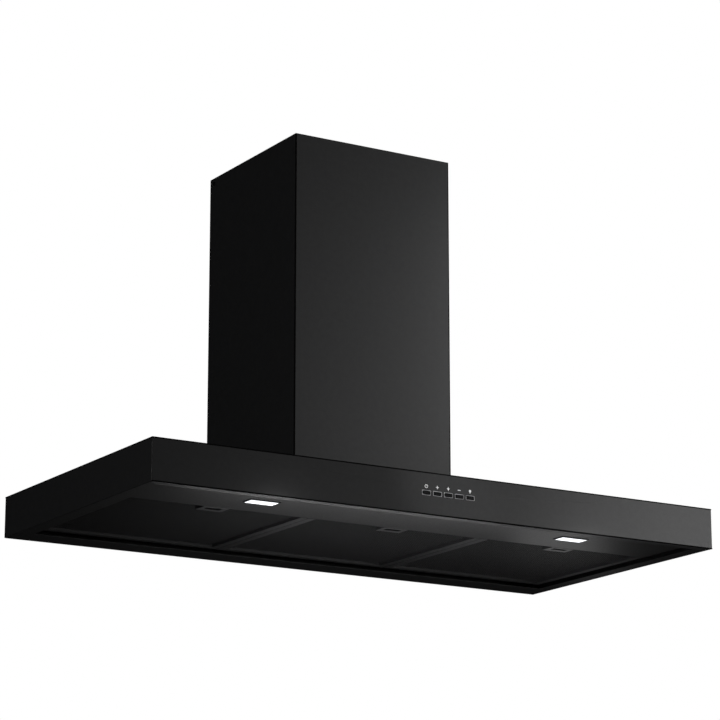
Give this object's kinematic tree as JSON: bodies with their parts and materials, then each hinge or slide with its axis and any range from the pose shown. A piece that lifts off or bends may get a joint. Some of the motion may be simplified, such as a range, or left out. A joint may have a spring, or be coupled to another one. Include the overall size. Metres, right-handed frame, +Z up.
{
  "type": "wall range hood",
  "caption": "Wall range hood: flat box canopy with drop-down grease filters, push buttons, lamps, blower and a telescopic square chimney.",
  "frame": {"origin": "middle of the four wall fixing holes, on the wall face", "axes": "+X to the right seen from the front, +Y into the wall, +Z up; the front faces -Y"},
  "size_m": [1.2, 0.6013, 0.774],
  "materials": {
    "black_paint": "matt powder coat",
    "filter_paint": "matt powder coat",
    "filter_sheet": "black expanded mesh",
    "grease_mesh": "black-coated expanded mesh",
    "zinc_steel": "galvanised",
    "bright_steel": "zinc plated",
    "black_screw": "black zinc",
    "motor_alloy": "cast",
    "bearing_bronze": "sintered",
    "black_plastic": "moulded",
    "grey_plastic": "moulded",
    "flap_plastic": "moulded",
    "white_plastic": "moulded",
    "switch_black": "moulded",
    "circuit_board": "solder mask",
    "led_board": "white solder mask",
    "button_black": "satin",
    "button_trim": "satin grey",
    "lamp_case": "satin",
    "lamp_glow": "opal diffuser"
  },
  "bodies": {
    "hood": {"canopy_shell": "black_paint", "lamp_panel": "black_paint", "rear_rail": "zinc_steel", "cross_rail_left": "zinc_steel", "cross_rail_right": "zinc_steel", "side_rail_right": "zinc_steel", "side_rail_left": "zinc_steel", "hinge_pins": "bright_steel", "led_driver": "white_plastic", "button_guide": "button_trim", "control_board": "circuit_board", "tact_switches": "switch_black", "control_box": "black_plastic", "motor_box": "zinc_steel", "assembly_screws": "bright_steel", "scroll_right": "grey_plastic", "scroll_left": "grey_plastic", "motor_body": "motor_alloy", "motor_bearings": "bearing_bronze", "motor_bracket": "zinc_steel", "capacitor": "white_plastic", "outlet_collar": "black_plastic", "damper_pin": "bright_steel", "terminal_box": "black_plastic", "terminal_lid": "black_plastic", "cable_gland": "black_plastic", "chimney_lower": "black_paint", "chimney_bracket": "zinc_steel", "chimney_screws": "black_screw", "lamp_housing_left": "lamp_case", "lamp_lens_left": "lamp_glow", "lamp_board_left": "led_board", "lamp_housing_right": "lamp_case", "lamp_lens_right": "lamp_glow", "lamp_board_right": "led_board"},
    "filter_left": {"filter_frame_left": "filter_paint", "filter_face_left": "filter_sheet", "filter_mesh_left": "grease_mesh", "latch_spring_left": "bright_steel"},
    "latch_left": {"filter_latch_left": "filter_paint"},
    "filter_centre": {"filter_frame_centre": "filter_paint", "filter_face_centre": "filter_sheet", "filter_mesh_centre": "grease_mesh", "latch_spring_centre": "bright_steel"},
    "latch_centre": {"filter_latch_centre": "filter_paint"},
    "filter_right": {"filter_frame_right": "filter_paint", "filter_face_right": "filter_sheet", "filter_mesh_right": "grease_mesh", "latch_spring_right": "bright_steel"},
    "latch_right": {"filter_latch_right": "filter_paint"},
    "button_timer": {"button_timer": "button_black"},
    "button_plus": {"button_plus": "button_black"},
    "button_light": {"button_light": "button_black"},
    "button_minus": {"button_minus": "button_black"},
    "button_bulb": {"button_bulb": "button_black"},
    "fan_wheel": {"impeller": "black_plastic", "motor_shaft": "bright_steel"},
    "damper_left": {"damper_flap_left": "flap_plastic"},
    "damper_right": {"damper_flap_right": "flap_plastic"},
    "chimney_inner": {"chimney_upper": "black_paint"}
  },
  "joints": [
    {"name": "filter_left_drop", "type": "hinge", "parent": "hood", "child": "filter_left", "pos_m": [-0.378, -0.071, -0.192], "axis": [1, 0, 0], "range_deg": [0, 60]},
    {"name": "latch_left_pull", "type": "slide", "parent": "filter_left", "child": "latch_left", "axis": [0, 1, 0], "range_m": [0, 0.006], "stiffness_N_per_m": 600, "springref_m": -0.005, "deforming": ["latch_spring_left"]},
    {"name": "filter_centre_drop", "type": "hinge", "parent": "hood", "child": "filter_centre", "pos_m": [0, -0.071, -0.192], "axis": [1, 0, 0], "range_deg": [0, 60]},
    {"name": "latch_centre_pull", "type": "slide", "parent": "filter_centre", "child": "latch_centre", "axis": [0, 1, 0], "range_m": [0, 0.006], "stiffness_N_per_m": 600, "springref_m": -0.005, "deforming": ["latch_spring_centre"]},
    {"name": "filter_right_drop", "type": "hinge", "parent": "hood", "child": "filter_right", "pos_m": [0.378, -0.071, -0.192], "axis": [1, 0, 0], "range_deg": [0, 60]},
    {"name": "latch_right_pull", "type": "slide", "parent": "filter_right", "child": "latch_right", "axis": [0, 1, 0], "range_m": [0, 0.006], "stiffness_N_per_m": 600, "springref_m": -0.005, "deforming": ["latch_spring_right"]},
    {"name": "button_timer_press", "type": "slide", "parent": "hood", "child": "button_timer", "axis": [0, 1, 0], "range_m": [0, 0.0015], "stiffness_N_per_m": 700, "springref_m": -0.001},
    {"name": "button_plus_press", "type": "slide", "parent": "hood", "child": "button_plus", "axis": [0, 1, 0], "range_m": [0, 0.0015], "stiffness_N_per_m": 700, "springref_m": -0.001},
    {"name": "button_light_press", "type": "slide", "parent": "hood", "child": "button_light", "axis": [0, 1, 0], "range_m": [0, 0.0015], "stiffness_N_per_m": 700, "springref_m": -0.001},
    {"name": "button_minus_press", "type": "slide", "parent": "hood", "child": "button_minus", "axis": [0, 1, 0], "range_m": [0, 0.0015], "stiffness_N_per_m": 700, "springref_m": -0.001},
    {"name": "button_bulb_press", "type": "slide", "parent": "hood", "child": "button_bulb", "axis": [0, 1, 0], "range_m": [0, 0.0015], "stiffness_N_per_m": 700, "springref_m": -0.001},
    {"name": "fan_spin", "type": "hinge", "parent": "hood", "child": "fan_wheel", "pos_m": [0, -0.179, -0.008], "axis": [1, 0, 0], "continuous": true},
    {"name": "damper_left_open", "type": "hinge", "parent": "hood", "child": "damper_left", "pos_m": [0, -0.11, 0.144], "axis": [0, 1, 0], "range_deg": [0, 75]},
    {"name": "damper_right_open", "type": "hinge", "parent": "hood", "child": "damper_right", "pos_m": [0, -0.11, 0.144], "axis": [0, -1, 0], "range_deg": [0, 75]},
    {"name": "chimney_lift", "type": "slide", "parent": "hood", "child": "chimney_inner", "axis": [0, 0, 1], "range_m": [0, 0.24]}
  ]
}
